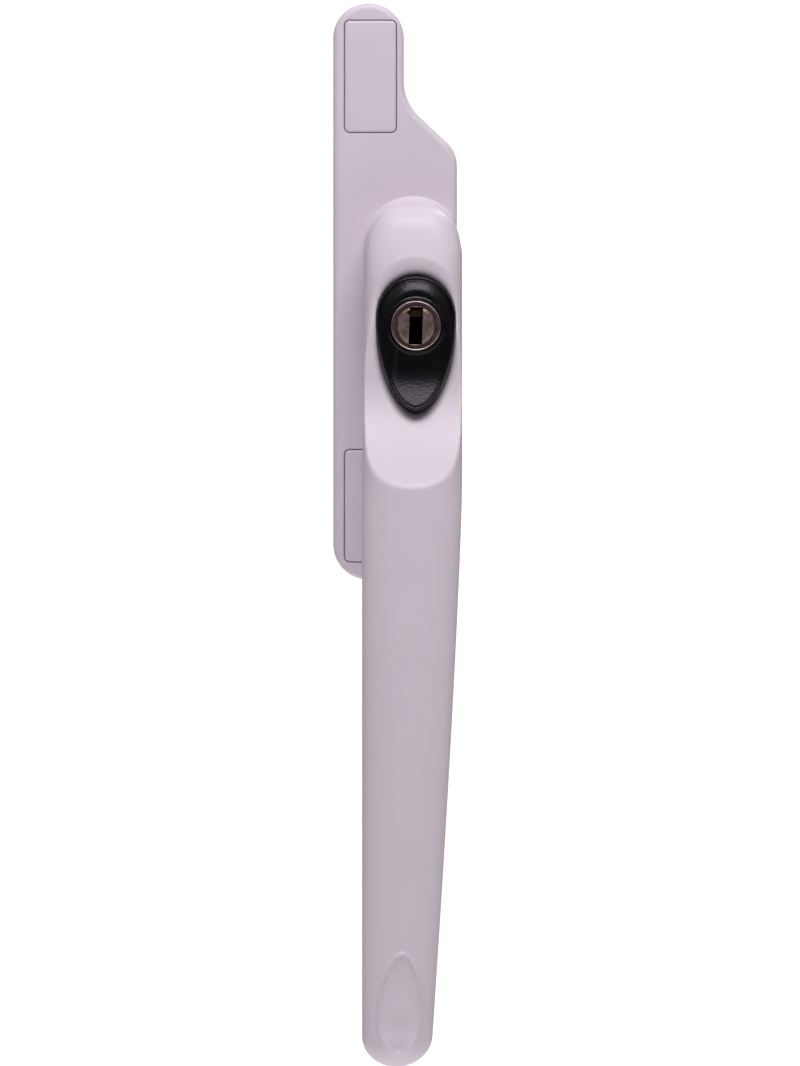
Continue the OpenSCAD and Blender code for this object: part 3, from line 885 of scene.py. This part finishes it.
BEZEL_INSETS = (
    0.0, 0.05, 0.15, 0.27, 0.4, 0.53, 0.66, 0.8, 0.95, 1.15, 1.4, 1.75,
    2.15, 2.6, 3.1, 3.7, 4.4, 5.2, 6.1, 7.1, 8.2, 9.4, 10.7,
)
BEZEL_HOLE, COLLAR_R, BEZEL_GAP = 5.2, 6.35, 0.05
EDGE_ROLL = {0: 0.45, 1: 0.12}
COLLAR_RINGS = (
    (6.2, 0.0), (6.05, 0.0), (5.9, 0.0), (5.75, 0.0), (5.6, 0.0), (5.45, 0.0),
    (5.35, 0.08), (5.28, 0.25), (BEZEL_HOLE, 0.25),
)


def bezel_ring(reaches, lowered):
    """A ring of the bezel's front face, one reach from the lock's axis for each point."""
    ring = []
    for i, reach in enumerate(reaches):
        a = 2 * math.pi * i / len(reaches)
        x, z = LOCK_X + reach * math.cos(a), LOCK_Z + reach * math.sin(a)
        ring.append((x, bezel_height(x, z) - lowered, z))
    return ring


def make_bezel():
    """The black bezel as one closed loop of rings: back, edge, front and the hole for the barrel."""
    edge = BEZEL_EDGE[::2]
    count = len(edge)
    back = POCKET_FLOOR + BEZEL_GAP

    def build(bm):
        turn = [2 * math.pi * i / count for i in range(count)]
        rings = [circle(BEZEL_HOLE, back, LOCK_X, LOCK_Z, count)]
        rings.append([
            (LOCK_X + (r - BEZEL_GAP) * math.cos(a), back, LOCK_Z + (r - BEZEL_GAP) * math.sin(a))
            for a, r in zip(turn, edge)
        ])
        for k, inset in enumerate(BEZEL_INSETS):
            nearest = COLLAR_R + (len(BEZEL_INSETS) - k) * 0.0001
            reaches = [r - inset if r - inset >= COLLAR_R else nearest for r in edge]
            rings.append(bezel_ring(reaches, EDGE_ROLL.get(k, 0.0)))
        for reach, lowered in COLLAR_RINGS:
            rings.append(bezel_ring([reach] * count, lowered))
        rings.append(rings[0])
        skin(bm, rings, caps=(False, False))
        bmesh.ops.remove_doubles(bm, verts=bm.verts, dist=WELD)
    obj = new_mesh("bezel_moulding", build)
    finish_piece(obj, jet, "handle", ["lock_bezel"], 50)


FACE = 25.3


def make_cylinder_body():
    """The lock's barrel: clip groove at the back, rolled collar and a deep groove at the front."""
    clip_groove = [(5.1, 12.75), (5.1, 13.0), (4.75, 13.02), (4.75, 13.53), (5.1, 13.55)]
    collar = [
        (5.1, -0.25), (5.16, -0.2), (5.2, -0.1), (5.19, 0.02), (5.14, 0.15), (5.07, 0.25),
        (4.98, 0.3), (4.89, 0.26), (4.82, 0.1), (4.79, -0.9), (4.73, -1.0), (4.2, -1.02), (4.15, -1.06),
    ]
    profile = clip_groove + [(r, FACE + rise) for r, rise in collar] + [(4.15, 12.75)]
    obj = new_mesh("cylinder_barrel", lambda bm: tube(bm, profile, LOCK_X, LOCK_Z, 128))
    carve(obj, [lambda bm, s=s: box(bm, 4.8, 0.6, 15.4, 24, LOCK_X, LOCK_Z + s * 4.3) for s in (1, -1)])
    finish_piece(obj, nickel, "handle", ["cylinder_body"], 42)


KEYWAY = (
    (-1.38, -3.85), (1.38, -3.85), (1.38, 3.85), (-1.38, 3.85),
    (-1.38, 3.15), (-1.86, 3.05), (-1.86, 2.35), (-1.38, 2.2),
)
KEYWAY_TILT, KEYWAY_BACK = math.radians(2), 14.6
WAFER_FIRST, WAFER_PITCH, WAFER_SLOT = 16.2, 1.7, 0.64


def keyway(bm):
    c, s = math.cos(KEYWAY_TILT), math.sin(KEYWAY_TILT)
    ring = [(LOCK_X + x * c + z * s, LOCK_Z - x * s + z * c) for x, z in KEYWAY]
    skin(bm, [[(x, d, z) for x, z in ring] for d in (KEYWAY_BACK, FACE + 1.7)])


def wafer_slot(number):
    middle = WAFER_FIRST + WAFER_PITCH * number
    back, front = middle - WAFER_SLOT / 2, middle + WAFER_SLOT / 2
    return lambda bm: box(bm, 4.7, 9, back, front, LOCK_X, LOCK_Z)


def make_plug():
    """The turning plug: a raised lip round its face, a square tail, the keyway and the wafer slots."""
    face = [
        (4.1, -0.3), (4.07, -0.1), (3.99, 0), (3.91, -0.08), (3.87, -0.26), (3.8, -0.28),
        (3.72, -0.12), (3.58, -0.03), (3.1, 0), (2.2, 0.03), (1.0, 0.05),
    ]
    profile = [(4.1, 12.7)] + [(r, FACE + rise) for r, rise in face]
    obj = new_mesh("cylinder_plug_turned", lambda bm: revolve(bm, profile, LOCK_X, LOCK_Z, 128))
    carve(obj, [lambda bm: box(bm, 2.6, 2.6, 11.3, 13, LOCK_X, LOCK_Z)], "UNION")
    carve(obj, [keyway] + [wafer_slot(i) for i in range(5)])
    finish_piece(obj, nickel, "plug", ["cylinder_plug"], 25)


make_backplate()
make_cover("upper_screw_cover", 1)
make_cover("lower_screw_cover", -1)
make_fixing_screws()
make_lever()
make_bezel()
make_cylinder_body()
make_plug()


# ---------- studio ----------


def pale_floor():
    """Matt off-white paper with faint clouding."""
    f = new_finish("studio_floor")
    where = f.place()
    tone = f.noise(where, 3.0, 3.0)
    colour = f.blend(f.step(tone, 0.3, 0.7), rgba(0.93, 0.93, 0.93), rgba(0.96, 0.96, 0.96))
    return f.surface(Base_Color=colour, Roughness=0.85)


FLOOR_Z, FLOOR_RADII, FLOOR_STEPS = -300, (1300, 900, 500, 100), 96


def make_floor():
    turn = [2 * math.pi * i / FLOOR_STEPS for i in range(FLOOR_STEPS)]
    rings = [[(r * math.cos(a), -r * math.sin(a), FLOOR_Z) for a in turn] for r in FLOOR_RADII]
    floor = new_mesh("floor", lambda bm: skin(bm, rings, caps=(False, True)))
    floor.data.materials.append(pale_floor())


def area_light(name, place, aim, size, power, colour=(1, 1, 1)):
    data = bpy.data.lights.new(name, "AREA")
    data.shape = "RECTANGLE"
    data.size, data.size_y = size
    data.energy = power
    data.color = colour
    obj = bpy.data.objects.new(name, data)
    bpy.context.scene.collection.objects.link(obj)
    obj.location = place
    obj.rotation_euler = (Vector(aim) - Vector(place)).to_track_quat("-Z", "Y").to_euler()


def make_world():
    """Soft light that grows towards the zenith, in front of a plain white background."""
    sky = Finish(bpy.data.worlds.new("studio"))
    bpy.context.scene.world = sky.block
    where = sky.add("ShaderNodeTexCoord", out="Generated")
    up = sky.add("ShaderNodeSeparateXYZ", {}, {"Vector": where}, out="Z")
    light = sky.step(up, 0.1, 1.0) * 0.6 + 0.06
    seen = sky.add("ShaderNodeLightPath", out="Is Camera Ray")
    strength = light * (1 - seen) + seen * 1.15
    back = sky.add("ShaderNodeBackground", {}, {"Color": rgba(1.0, 0.99, 1.0), "Strength": strength})
    sky.add("ShaderNodeOutputWorld", {}, {"Surface": back})


make_floor()
make_world()
area_light("back_light", (0, 0.75, 0.45), (0, 0.02, -0.06), (0.7, 0.5), 4.0)
area_light("overhead", (0.03, -0.34, 0.44), (0, -0.02, -0.06), (0.42, 0.25), 2.0, (0.985, 0.975, 1.0))
area_light("low_fill", (0.14, -0.52, -0.52), (0, -0.03, -0.18), (0.2, 0.18), 1.05, (1.0, 0.88, 0.93))


def make_camera():
    """A long lens square to the front."""
    lens = bpy.data.cameras.new("camera")
    lens.lens = 982.0
    lens.clip_end = 50
    view = bpy.data.objects.new("camera", lens)
    bpy.context.scene.collection.objects.link(view)
    view.location = (-0.00268, -6.02, -0.05924)
    view.rotation_euler = (math.radians(90), 0, 0)
    bpy.context.scene.camera = view
    bpy.context.scene.view_settings.view_transform = "Standard"


make_camera()
